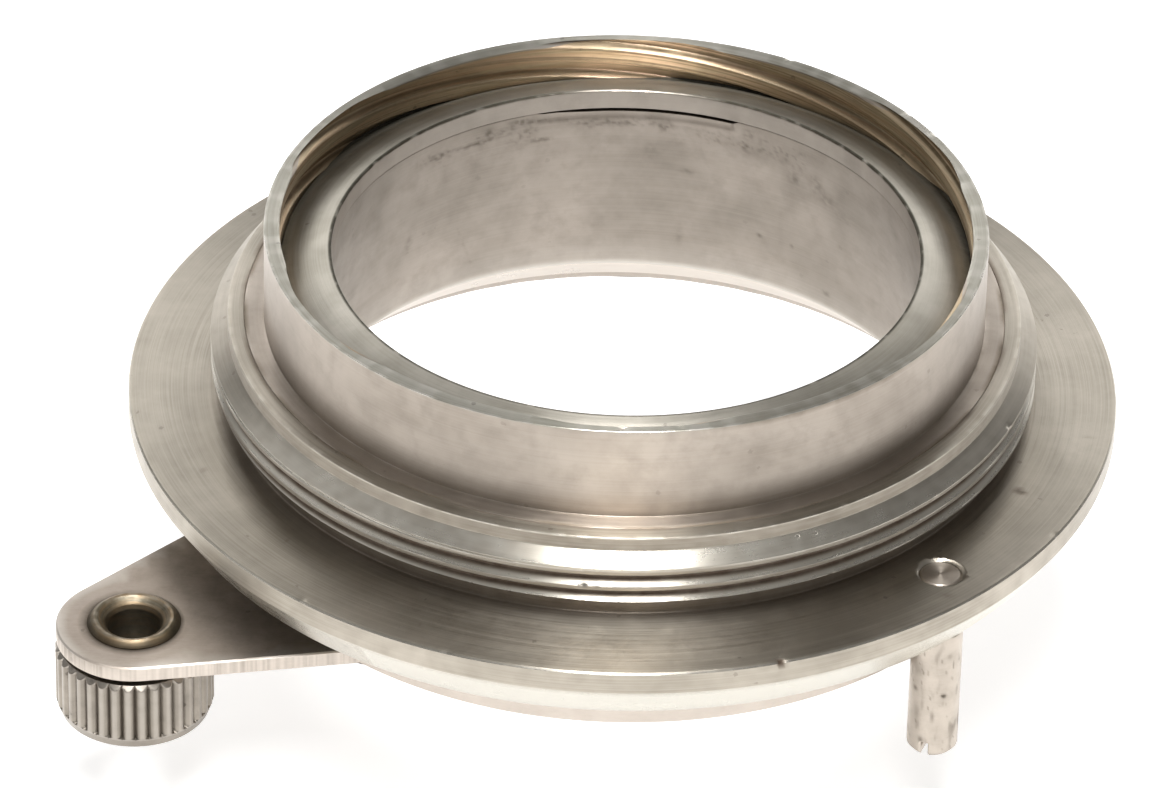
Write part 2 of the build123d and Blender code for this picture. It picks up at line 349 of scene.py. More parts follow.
NICKEL = dict(base=(0.46, 0.417, 0.353), dark=(0.315, 0.285, 0.235), light=(0.57, 0.52, 0.445),
              dirt_col=(0.125, 0.083, 0.058), worn=(0.75, 0.725, 0.65))
m_flange = metal("plated_flange", rough=0.31, aniso=0.85, seed=3.1, spots=0.3, **NICKEL)
m_collar = metal("plated_collar", base=(0.46, 0.405, 0.35), dark=(0.34, 0.295, 0.25),
                 light=(0.53, 0.475, 0.42), rough=0.34, aniso=0.84, seed=9.4, line_amt=0.28,
                 hair_amt=0.16, spots=0.2, tarnish=0.55, bump=0.2,
                 dirt_col=(0.16, 0.12, 0.07), dirt_amt=0.85)
m_tube = metal("plated_tube", base=(0.46, 0.43, 0.375), dark=(0.31, 0.29, 0.24),
               light=(0.56, 0.525, 0.465), rough=0.34, aniso=0.65, seed=17.2, line_amt=0.35,
               hair_amt=0.2, dirt_col=(0.05, 0.045, 0.03), worn=(0.80, 0.71, 0.63))
m_sleeve = metal("brushed_sleeve", base=(0.375, 0.332, 0.289), dark=(0.265, 0.235, 0.20),
                 light=(0.47, 0.425, 0.38), rough=0.46, aniso=0.4, tarnish=0.45,
                 spots=0.12, seed=23.7, bump=0.13, line_amt=0.22, hair_amt=0.16)
m_plate = metal("brushed_plate", rough=0.50, aniso=0.0, turn="grain", streak=78.0,
                radial=False, seed=31.5, base=(0.53, 0.462, 0.40), dark=(0.42, 0.36, 0.305),
                light=(0.63, 0.555, 0.49), dirt_col=(0.10, 0.08, 0.06), line_amt=0.4,
                worn=(0.76, 0.71, 0.65), bump=0.2)
m_knob = metal("plated_knob", base=(0.285, 0.254, 0.215), dark=(0.20, 0.177, 0.149),
               light=(0.345, 0.31, 0.27), rough=0.36, aniso=0.0, seed=41.3, bump=0.3,
               tarnish=0.8, spots=0.7, line_amt=0.2, hair_amt=0.1, worn=(0.46, 0.42, 0.375),
               dirt_col=(0.09, 0.075, 0.06))
m_brass = metal("rivet_brass", base=(0.20, 0.172, 0.122), dark=(0.115, 0.098, 0.07),
                light=(0.30, 0.265, 0.205), rough=0.38, aniso=0.0, seed=53.9, tarnish=0.9,
                dirt_col=(0.045, 0.037, 0.026), spots=0.9, worn=(0.52, 0.475, 0.40),
                tint=(0.28, 0.185, 0.10), tint_amt=0.5)
m_pin = metal("pin_metal", base=(0.585, 0.52, 0.45), dark=(0.42, 0.37, 0.315),
              light=(0.67, 0.61, 0.54), rough=0.38, aniso=0.65, seed=61.7, spots=0.35,
              line_amt=0.15, hair_amt=0.1, tarnish=0.7, dirt_amt=0.75, bump=0.25)


# ---------------------------------------------------------- 1. mount, flange
GROOVE_D = 0.42


def thread_depth(z, th):
    """V groove with a small flat at the root, run out under the lead-in."""
    p = (z - 2.87) / PITCH - (th + pi / 2) / (2 * pi)
    d = abs(p - floor(p + 0.5)) * PITCH
    return GROOVE_D * min(1.0, max(0.0, (0.405 - d) / 0.345)) * (1 - smooth(3.42, 3.60, z))


SPOTS = [  # azimuth, radius, half-widths, strength: stains on the flange's face
    (335.9, 25.27, 0.42, 0.34, 0.9), (336.6, 25.05, 0.25, 0.2, 0.6), (312.0, 27.9, 0.5, 0.12, 0.4),
    (246.0, 27.2, 0.3, 0.12, 0.4), (203.0, 26.1, 0.35, 0.14, 0.35), (350.5, 27.6, 0.3, 0.3, 0.3),
    (285.0, 26.4, 0.3, 0.1, 0.4), (222.0, 25.4, 0.3, 0.12, 0.3),
]


def mount_flange():
    pts = [(22.20, -0.40), (22.20, 5.12), (23.16, 5.12), (23.16, 4.26),
           (24.15, 3.66), (24.15, 1.44), (23.20, 1.18), (23.20, 0.0),
           (28.90, 0.0), (29.0, -0.11), (29.0, -1.37), (27.45, -3.72),
           (22.70, -3.72), (22.70, -0.40)]
    rad = [0, 0.06, 0.07, 0.04, 0.03, 0.03, 0.05, 0.16,
           0.02, 0.02, 0.05, 0.06, 0.1, 0]
    prof = fillet(pts, rad)
    prof = resample(prof + [prof[0]], lambda r, z: 0.045 if (r > 23.1 and 1.15 < z < 5.15)
                    else (0.35 if z > -0.5 else 0.6))[:-1]

    def shape(r, z, th, i):
        # the neck's thread is cut into the wall
        if r > 23.14 and 1.18 < z < 4.28:
            r = min(r, 24.15 - thread_depth(z, th))
        return r, z

    def mark(r, z, th, r0, z0, i):
        dirt = worn = 0.0
        w = mnoise.noise(Vector((6 * cos(th), 6 * sin(th), z * 1.5)))
        w2 = mnoise.noise(Vector((30 * cos(th), 30 * sin(th), z * 3.0)))
        a = degrees(th) % 360
        if r0 > 23.10 and 1.15 < z0 < 3.64:
            g = min(1.0, (24.15 - r) / GROOVE_D)
            # grime and painted shade, darker with the groove's depth
            dirt = 0.90 * smooth(0.30, 0.90, g)
            p = (z - 2.87) / PITCH - (th + pi / 2) / (2 * pi)
            below = floor(p + 0.5) - p             # > 0 on the flank that faces up
            # painted highlight on the flank that faces up
            worn = 0.55 * (1 - smooth(0.5, 0.9, g)) * (1 if 0.04 < below < 0.42 else 0)
            if abs(g) < 0.05:
                dirt = 0.25
        # painted shade in the corner at the neck's foot and on the flange face next to it
        if z0 < 1.3 and abs(r0 - 23.2) < 0.4 and z0 > -0.1:
            dirt = max(dirt, 0.55)
        if z0 > -0.05 and z0 < 0.05 and r0 < 24.4:
            dirt = max(dirt, 0.45 * (1 - smooth(23.3, 24.4, r0)))
        if 3.64 <= z0 <= 4.30 and r0 > 23.17:
            # painted highlight at the front and back, painted shade at the left and right sides
            side = abs(cos(th)) ** 6
            worn = (0.45 + 0.35 * w2) * (1 - 0.8 * side)
            dirt = 0.10 * smooth(0.0, 0.5, w) + 0.14 * side
        if 4.30 < z0 < 5.0 and r0 > 23.1:
            dirt = 0.26 + 0.12 * w2
        if z0 >= 5.04 and r0 > 23.05:
            # wear on the top edge, with a painted highlight that is weaker at the left and right sides
            worn = 0.6 * smooth(-0.1, 0.35, w2) * (1 - 0.7 * abs(cos(th)))
        if abs(z0 - 5.12) < 0.08 and r0 < 22.32:
            dirt = 0.7 * smooth(-0.5, 0.2, w)
        if -0.11 <= z0 < -0.01 and r0 > 28.8:
            worn = 0.8 * smooth(-0.5, 0.1, w2 + 0.3)
        if r0 > 28.95 and -1.36 < z0 < -0.11:
            dirt = 0.10 + 0.10 * w2
        if -0.45 < z0 < 0.02 and r0 > 28.7:
            q = exp(-((a - 288.7) / 0.42) ** 4)
            dirt = max(dirt, 1.4 * q)
            worn *= 1 - q
        if r0 > 28.9 and -1.45 < z0 <= -1.36:
            worn = 0.4
        # painted reflection of the white floor on the lower bevel, weaker over the arm, which blocks the floor
        if -3.72 < z0 < -1.40 and r0 > 27.4:
            worn = 0.9 if not 180 < a < 240 else 0.45
        for sa, sr, wa, wr, amt in SPOTS:
            if abs(z0) < 0.02:
                q = ((a - sa) / wa) ** 2 + ((r0 - sr) / wr) ** 2
                if q < 6:
                    dirt += amt * exp(-q)
        return {"dirt": max(0, min(1, dirt)), "worn": max(0, worn)}

    ob = lathe("flange_and_neck", prof, 900, m_flange, shape, mark)
    # nicks: flange edge, thread crest, neck's top edge
    for a, r, z, rad, dep in ((288.7, 28.98, -0.05, 0.26, 0.07), (265.3, 24.15, 2.44, 0.12, 0.10),
                              (267.0, 24.15, 2.38, 0.10, 0.08), (232.0, 28.98, -0.03, 0.16, 0.08),
                              (251.0, 28.98, -0.03, 0.12, 0.07), (330.0, 28.98, -0.03, 0.14, 0.08),
                              (303.0, 23.16, 5.08, 0.16, 0.10), (318.0, 24.12, 3.66, 0.16, 0.08),
                              (300.0, 24.15, 1.45, 0.14, 0.10), (338.0, 24.12, 3.66, 0.2, 0.10)):
        t = radians(a)
        dent(ob, r * cos(t), r * sin(t), z, rad, dep, (-cos(t), -sin(t), -0.6))
    return ob


def hole_in_flange(ob):
    """Cut the tenon's hole with its chamfered mouth."""
    n = 64
    prof = [(1.22, 1.0), (1.22 + 0.26, 0.08), (1.22 + 0.22, 0.0), (1.22, -0.20), (1.22, -6.0)]
    prof = [(1.50, 0.16), (1.37, 0.0), (1.22, -0.18), (1.22, -6.0)]
    verts, faces = [], []
    for r, z in prof:
        for j in range(n):
            a = 2 * pi * j / n
            verts.append((PIN[0] + r * cos(a), PIN[1] + r * sin(a), z))
    for i in range(len(prof) - 1):
        for j in range(n):
            faces.append((i * n + j, i * n + (j + 1) % n, (i + 1) * n + (j + 1) % n, (i + 1) * n + j))
    faces.append(tuple(range(n)))
    faces.append(tuple(range((len(prof) - 1) * n, len(prof) * n))[::-1])
    cutter = new_object("cutter", verts, faces, m_flange)
    boolean(ob, cutter)


def boolean(ob, cutter):
    md = ob.modifiers.new("cut", "BOOLEAN")
    md.operation = "DIFFERENCE"
    md.solver = "EXACT"
    md.object = cutter
    bpy.context.view_layer.update()
    dg = bpy.context.evaluated_depsgraph_get()
    me = bpy.data.meshes.new_from_object(ob.evaluated_get(dg))
    old = ob.data
    ob.modifiers.clear()
    ob.data = me
    bpy.data.meshes.remove(old)
    bpy.data.objects.remove(cutter)


flange = mount_flange()
hole_in_flange(flange)
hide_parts("mount_flange")
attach(flange, "mount")


# --------------------------------------------------------- 2. helicoid collar
def land(th_deg):
    """0 on a land of the female helicoid, 1 in a groove."""
    d = abs((th_deg - HEL_PHASE + 30) % 60 - 30)
    return smooth(12.2, 21.6, d)


def collar():
    n = 720
    stepdeg = 360.0 / n
    top = 10.89
    outer = fillet([(22.20, -0.40), (22.20, 5.12), (21.03, 5.12), (21.03, 10.89)],
                   [0, 0.06, 0.05, 0], closed=False)
    outer = resample(outer[:-1] + [(21.03, 10.83)], 0.35)
    outer += [(21.02, 10.87), (20.99, 10.89), (20.85, 10.89)]
    rows = [(r, z, 0.0, "o") for r, z in outer]
    rows.append((0, top, 0.0, "e"))           # rim's inner edge
    zb = top - round(338.7 / stepdeg) * stepdeg / 360 * LEAD
    z = top - 0.05
    while z > zb + 1e-6:
        rows.append((0, z, -(top - z) / LEAD * 360, "i"))
        z -= 0.10 if z > 8.0 else 0.6
    rows.append((0, zb, -(top - zb) / LEAD * 360, "i"))
    prof = [(r, z) for r, z, _, _ in rows]
    kinds = [k for _, _, _, k in rows]
    shear = [radians(s) for _, _, s, _ in rows]

    def shape(r, z, th, i):
        k = kinds[i]
        if k == "o":
            return r, z
        base = degrees(th - shear[i])
        g = land(base)
        rr = 20.12 + 0.55 * g
        if k == "e":
            rr = 20.24 + 0.26 * g
        return rr, z

    def mark(r, z, th, r0, z0, i):
        k = kinds[i]
        dirt = worn = 0.0
        w = mnoise.noise(Vector((7 * cos(th), 7 * sin(th), z * 1.2)))
        w2 = mnoise.noise(Vector((22 * cos(th), 22 * sin(th), z * 2.2)))
        if k == "o":
            if abs(z0 - 5.12) < 0.08 and r0 > 22.08:
                dirt = 0.7 * smooth(-0.5, 0.2, w)
            elif abs(z0 - 5.12) < 0.25 and r0 < 21.3:
                # painted shade in the corner between the collar wall and the ledge
                dirt = 0.3 * smooth(-0.4, 0.4, w)
            if z0 > 10.86 and r0 > 20.98:
                worn = 0.75 * smooth(-0.35, 0.25, w2)
            elif z0 > 10.88:
                worn = 0.25 * smooth(0.0, 0.4, w2)
            a = degrees(th) % 360
            for sa, sz, wa, wz, amt in ((283.9, 9.36, 1.0, 0.13, 0.5), (284.6, 9.5, 0.4, 0.08, 0.5),
                                        (253.3, 9.0, 0.35, 0.10, 0.45), (262.0, 7.8, 4.0, 0.5, 0.12),
                                        (290.0, 8.6, 5.0, 0.6, 0.10), (236.0, 8.9, 4.0, 0.4, 0.12)):
                q = ((a - sa) / wa) ** 2 + ((z0 - sz) / wz) ** 2
                if q < 6 and r0 > 21.0:
                    dirt += amt * exp(-q) * (0.7 + 0.6 * w2)
            if z0 > 10.80:
                # painted shade on the rim towards the front right
                dirt += 0.40 * exp(-((a - 304) / 19.0) ** 4)
        elif k == "e":
            worn = 0.35 * smooth(-0.2, 0.4, w2)
            # the same painted shade on the rim's inner edge
            dirt = 0.40 * exp(-((degrees(th) % 360 - 304) / 19.0) ** 4)
        else:
            base = degrees(th - shear[i])
            d = abs((base - HEL_PHASE + 30) % 60 - 30)
            fl = exp(-((d - 18.2) / 1.7) ** 2)
            # tool lines run along the groove
            tool = mnoise.noise(Vector((base * 0.31, 0.9 * cos(th), 5.5 + 0.9 * sin(th))))
            tool2 = mnoise.noise(Vector((base * 0.13, 0.5 * cos(th), 1.5 + 0.5 * sin(th))))
            # painted shade on the groove flanks
            dirt = 0.10 + 0.55 * fl + 0.20 * w + 0.12 * w2
            dirt = max(0.0, min(1.0, dirt + 0.40 * smooth(0.02, 0.45, tool) + 0.20 * tool2))
            a = degrees(th) % 360
            # painted highlight at the back centre, fading round the sides
            worn = 0.25 * smooth(0.1, 0.5, w2) * (1 - fl) * exp(-((a - 90) / 60.0) ** 2)
            worn += 0.80 * exp(-((a - 91) / 24.0) ** 2) * (1 - fl) * smooth(-0.5, 0.3, w)
            worn *= 1 - 0.5 * smooth(0.02, 0.45, tool)
        return {"dirt": max(0, dirt), "worn": max(0, worn)}

    ob = lathe("helicoid_collar_turned", prof, n, m_collar, shape, mark, shear=shear)
    for a, rad, dep in ((270.1, 0.20, 0.14), (257.0, 0.14, 0.07), (279.0, 0.12, 0.06), (246.0, 0.12, 0.06),
                        (63.0, 0.18, 0.08), (38.0, 0.15, 0.07), (30.5, 0.14, 0.07)):
        t = radians(a)
        r = 20.98 if a < 180 else 20.55
        dent(ob, r * cos(t), r * sin(t), 10.89, rad, dep, (0, 0, -1))
    return ob


# the helicoid's own brass shows inside the collar
m_helicoid = metal("helicoid_brass", base=(0.50, 0.405, 0.265), dark=(0.325, 0.262, 0.168),
                   light=(0.68, 0.56, 0.40), rough=0.32, aniso=0.7, seed=77.1, line_amt=0.85,
                   hair_amt=0.6, bump=0.5,
                   dirt_col=(0.085, 0.06, 0.033), dirt_amt=0.85, tarnish=0.6,
                   worn=(0.92, 0.67, 0.48), tint=(0.54, 0.36, 0.225), tint_amt=0.5)
m_rim = metal("turned_rim", base=(0.41, 0.388, 0.335), dark=(0.28, 0.268, 0.222),
              light=(0.51, 0.49, 0.43), rough=0.32, aniso=0.84, seed=14.9, spots=0.5,
              dirt_col=(0.12, 0.10, 0.07))
col_ob = collar()
col_ob.data.materials.append(m_helicoid)
col_ob.data.materials.append(m_rim)
for p in col_ob.data.polygons:
    c = p.center
    if hypot(c.x, c.y) < 20.75 * MM and c.z < 10.72 * MM:
        p.material_index = 1
    elif c.z > 10.84 * MM:
        p.material_index = 2
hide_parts("helicoid_collar")
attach(col_ob, "mount")


# ------------------------------------------------------------ 3. helicoid tube
BEV = (22.20 - 18.82) / (7.35 - 4.00)


def bevel_r(z):
    return 18.82 + (-4.00 - z) * BEV


def bevel_z(r):
    return -4.00 - (r - 18.82) / BEV


def dish_z(r):
    t = r - 17.22
    return 9.38 - 0.17 * t - 0.06 * t * t


def tube():
    n = 720
    zt = 8.40
    rows = []
    # lip, from its underside up and over the dish
    rows += [(19.25, 8.12, 0, "u"), (17.60, 8.12, 0, "u"), (17.16, 8.12, 0, "u"), (17.12, 8.16, 0, "l")]
    for z in (8.3, 8.5, 8.7, 8.9, 9.1, 9.2, 9.29):
        rows.append((17.12, z, 0, "l"))
    rows += [(17.13, 9.335, 0, "s"), (17.17, 9.37, 0, "s"), (17.23, 9.38, 0, "s")]
    r = 17.35
    while r < 19.99:
        rows.append((r, dish_z(r), 0, "d"))
        r += 0.14
    rows.append((19.97, dish_z(19.97), 0, "d"))
    rows.append((0, 0, 0, "t"))               # tips of the teeth, flush with the dish
    stepdeg = 360.0 / n
    zb = zt - round((zt + 3.40) / LEAD * 360 / stepdeg) * stepdeg / 360 * LEAD
    z = zt - 0.10
    while z > zb + 1e-6:
        rows.append((0, z, (z - zt) / LEAD * 360, "m"))
        z -= 0.5
    rows.append((0, zb, (zb - zt) / LEAD * 360, "m"))
    rows += [(22.15, -3.40, 0, "f"), (22.30, -3.55, 0, "f"), (22.30, -6.33, 0, "f"),
             (22.28, -6.35, 0, "f"), (bevel_r(-6.35), -6.35, 0, "b")]
    z = -6.2
    while z > bevel_z(19.25) + 0.05:
        rows.append((bevel_r(z), z, 0, "b"))
        z += 0.15
    rows = rows[:-1] if rows[-1][1] > bevel_z(19.27) else rows
    rows.append((19.25, bevel_z(19.25), 0, "b"))
    for z in (-2.5, 0, 3, 6, 7.5):
        rows.append((19.25, z, 0, "w"))
    prof = [(r, z) for r, z, _, _ in rows]
    kinds = [k for _, _, _, k in rows]
    shear = [radians(s) for _, _, s, _ in rows]
    # the teeth's phase, carried from the collar's mouth down to the dish
    ph = HEL_PHASE + 30 + (zt - 10.89) / LEAD * 360

    def male(base):
        d = abs((base - ph + 30) % 60 - 30)
        return 20.60 - 0.55 * smooth(8.2, 15.6, d)

    def shape(r, z, th, i):
        k = kinds[i]
        if k == "t":
            rr = male(degrees(th))
            return rr, min(8.42, dish_z(rr))
        if k == "m":
            return male(degrees(th - shear[i])), z
        return r, z

    def mark(r, z, th, r0, z0, i):
        k = kinds[i]
        dirt = worn = 0.0
        w = mnoise.noise(Vector((8 * cos(th), 8 * sin(th), z * 1.1)))
        w2 = mnoise.noise(Vector((25 * cos(th), 25 * sin(th), r * 2.2)))
        if k == "u":
            # painted shade: the lip's underside is dark where the joint under it is open and over its outer part
            dirt = 1.0 if r0 > 17.4 or 66 < degrees(th) % 360 < 112 else 0.15
        elif k == "d":
            # painted shade towards the corner with the wall
            dirt = 0.75 * smooth(19.2, 20.0, r0) + 0.10 * w
        elif k == "t" or k == "m":
            # painted shade: the teeth sit in shade inside the collar
            dirt = 0.95
        elif k == "s":
            # painted highlight on the rounded edge at the back, painted shade round the rest
            a = degrees(th) % 360
            back = exp(-((a - 88) / 13.0) ** 2)
            worn = 0.95 * back * smooth(-0.2, 0.3, w2)
            dirt = 1.2 * (1 - back) * smooth(-0.9, 0.0, w2)
        elif k == "l":
            dirt = 0.08 + 0.04 * w2
            worn = 0.18
            if z0 > 9.25:
                # painted shade on the lip's top edge, except at the back
                a = degrees(th) % 360
                dirt = max(dirt, (1 - exp(-((a - 88) / 30.0) ** 2)) * smooth(-0.9, 0.2, w2))
        elif k == "b":
            worn = 0.75
        elif k in "fw":
            dirt = 0.4
        return {"dirt": max(0, min(1, dirt)), "worn": max(0, worn)}

    return lathe("helicoid_tube_turned", prof, n, m_tube, shape, mark, shear=shear)


tube_ob = tube()
tube_ob.data.materials.append(m_sleeve)       # the lip is polished like the bore
for p in tube_ob.data.polygons:
    c = p.center
    if hypot(c.x, c.y) < 17.19 * MM and c.z < 9.335 * MM:
        p.material_index = 1
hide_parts("helicoid_tube")
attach(tube_ob, "focus_tube")


# -------------------------------------------------------------- 4. bore sleeve
def pocket(th, z):
    """Depth of the shallow pocket cut under the lip: square at one end, run out
    at the other and towards the bottom."""
    a = degrees(th) % 360
    if a < 68.9 or a > 113 or z < 7.2:
        return 0.0
    k = smooth(68.9, 69.4, a) * (1 - smooth(104.5, 112.0, a))
    return 0.09 * k * smooth(7.25, 7.6, z)


def gap(th):
    """Height of the open joint between the lip and the sleeve."""
    a = degrees(th) % 360
    if a < 67.6 or a > 114:
        return 0.0
    return 0.23 * smooth(67.6, 69.6, a) * (1 - 0.55 * smooth(98, 107, a)) * (1 - smooth(106.5, 109.5, a))


def sleeve():
    pts = [(17.16, 8.10), (18.30, 8.10), (18.40, 8.10), (19.08, 8.10), (19.20, 7.98),
           (19.20, bevel_z(19.20)), (18.82, -4.00)]
    prof = fillet(pts, [0.02, 0, 0, 0, 0.03, 0.03, 0.10])
    prof = resample(prof + [prof[0]], lambda r, z: 0.14 if r < 19.0 else 0.8)[:-1]

    def shape(r, z, th, i):
        if r < 19.0 and z < 8.095:
            # slightly uneven wall
            r += 0.006 * mnoise.noise(Vector((14 * cos(th), 14 * sin(th), z * 0.5)))
        if r < 18.35 and z > 7.8:
            z -= gap(th) * smooth(7.8, 8.07, z)
        if r < 17.6 and z > 7.0:
            r += pocket(th, z)
            # a small burr at the pocket's open corner
            a = degrees(th) % 360
            r -= 0.05 * exp(-((a - 68.2) / 0.5) ** 2) * smooth(7.0, 7.4, z)
            r = max(r, 17.125)
        return r, z

    STAINS = [  # azimuth, height, half-widths, strength
        (112.0, 7.70, 2.6, 0.22, 0.75), (108.5, 7.50, 2.2, 0.12, 0.6),
        (65.6, 7.35, 1.1, 0.40, 0.55), (66.3, 6.30, 0.8, 0.50, 0.45),
        (50.0, 5.40, 1.6, 0.55, 0.5), (55.5, 5.10, 1.3, 0.50, 0.45), (47.5, 4.60, 2.2, 0.5, 0.35),
        (107.5, 6.05, 2.0, 0.16, 0.75), (122.5, 6.85, 5.0, 0.16, 0.6), (131.0, 7.00, 2.6, 0.16, 0.4),
        (119.0, 7.45, 0.8, 0.25, 0.55), (78.5, 3.55, 1.6, 0.20, 0.45), (43.0, 4.0, 3.0, 0.5, 0.2),
        (49.3, -2.85, 0.7, 0.18, 0.8), (57.0, -0.30, 0.4, 0.15, 0.7), (64.0, -0.30, 0.5, 0.12, 0.8),
        (136.0, 1.0, 0.9, 0.5, 0.3), (80.0, -1.5, 0.7, 0.6, 0.25), (85.5, 4.9, 1.5, 0.6, 0.22),
        (97.0, 4.6, 1.2, 0.7, 0.16), (156.0, -1.6, 0.8, 0.3, 0.5), (90.0, 6.9, 14.0, 0.22, 0.32),
    ]

    def mark(r, z, th, r0, z0, i):
        dirt = worn = 0.0
        if r0 < 19.15:
            a = degrees(th) % 360
            w = mnoise.noise(Vector((10 * cos(th), 10 * sin(th), z * 0.9)))
            w2 = mnoise.noise(Vector((60 * cos(th), 60 * sin(th), z * 4.5)))
            w3 = mnoise.noise(Vector((110 * cos(th), 110 * sin(th), z * 9.0)))
            band = smooth(5.6, 6.6, z0) * (1 - smooth(7.2, 7.7, z0))
            dirt = 0.05 + 0.10 * smooth(2.0, 6.0, z0) * smooth(-0.3, 0.6, w)
            if 52 < a < 140:
                dirt += 0.26 * band * smooth(-0.10, 0.60, w2 + 0.25 * w3) * smooth(-0.3, 0.3, w)
            for sa, sz, wa, wz, amt in STAINS:
                q = ((a - sa) / wa) ** 2 + ((z0 - sz) / wz) ** 2
                if q < 6:
                    dirt += 0.75 * amt * exp(-q) * smooth(-0.75, 0.45, w2 + 0.3 * w3)
            # long scratch
            t = (0.6 - z0) / 3.2
            if 0 < t < 1:
                dirt += 0.13 * exp(-((a - (124.2 - 4.0 * t)) / 0.30) ** 2) * smooth(-0.4, 0.2, w2)
            dirt += 0.08 * exp(-((z0 - 8.08) / 0.04) ** 2)
            # painted shade on the sleeve's top face inside the open joint under the lip
            if z0 > 8.085 and gap(th) > 0.02:
                dirt = 1.0
            worn = 0.55 * (1 - smooth(-4.2, -3.6, z0)) + 0.12 * (1 - smooth(-3.6, -1.5, z0))
        return {"dirt": max(0, min(1, dirt)), "worn": worn}

    return lathe("bore_sleeve_turned", prof, 900, m_sleeve, shape, mark)


slv = sleeve()
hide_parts("bore_sleeve")
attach(slv, "sleeve_slide")


# -------------------------------------------------------------- 5. lever plate
ZT, ZB = -6.35, -7.35
END_R, PLATE_R = 4.50, 23.75
NEAR_DIR, FAR_DIR = 190.7, 225.5


def plate_outline(inset):
    """The plate's outline, moved in by inset: ring, far side, end, near side.
    Every loop has the same number of points in the same order."""
    R = PLATE_R - inset
    er = END_R - inset
    u = lambda a: Vector((cos(radians(a)), sin(radians(a))))
    e = Vector(E)

    def meet(direction, normal):
        n, d = u(normal), u(direction)
        c = n.dot(e) + er
        t = sqrt(R * R - c * c)
        p = n * c + d * t
        return p

    near = meet(NEAR_DIR, NEAR_DIR + 90)
    far = meet(FAR_DIR, FAR_DIR - 90)
    a0 = atan2(near.y, near.x)
    a1 = atan2(far.y, far.x)
    while a1 < a0:
        a1 += 2 * pi
    pts = []
    n = 420
    for i in range(n + 1):                    # ring, anticlockwise
        a = a0 + (a1 - a0) * i / n
        pts.append((R * cos(a), R * sin(a)))
    tf = e + u(FAR_DIR - 90) * er
    tn = e + u(NEAR_DIR + 90) * er
    for i in range(1, 150):
        p = far.lerp(tf, i / 150)
        pts.append((p.x, p.y))
    b0 = radians(FAR_DIR - 90)
    b1 = radians(NEAR_DIR + 90)
    for i in range(121):
        a = b0 + (b1 - b0) * i / 120
        pts.append((e.x + er * cos(a), e.y + er * sin(a)))
    for i in range(1, 150):
        p = tn.lerp(near, i / 150)
        pts.append((p.x, p.y))
    return pts


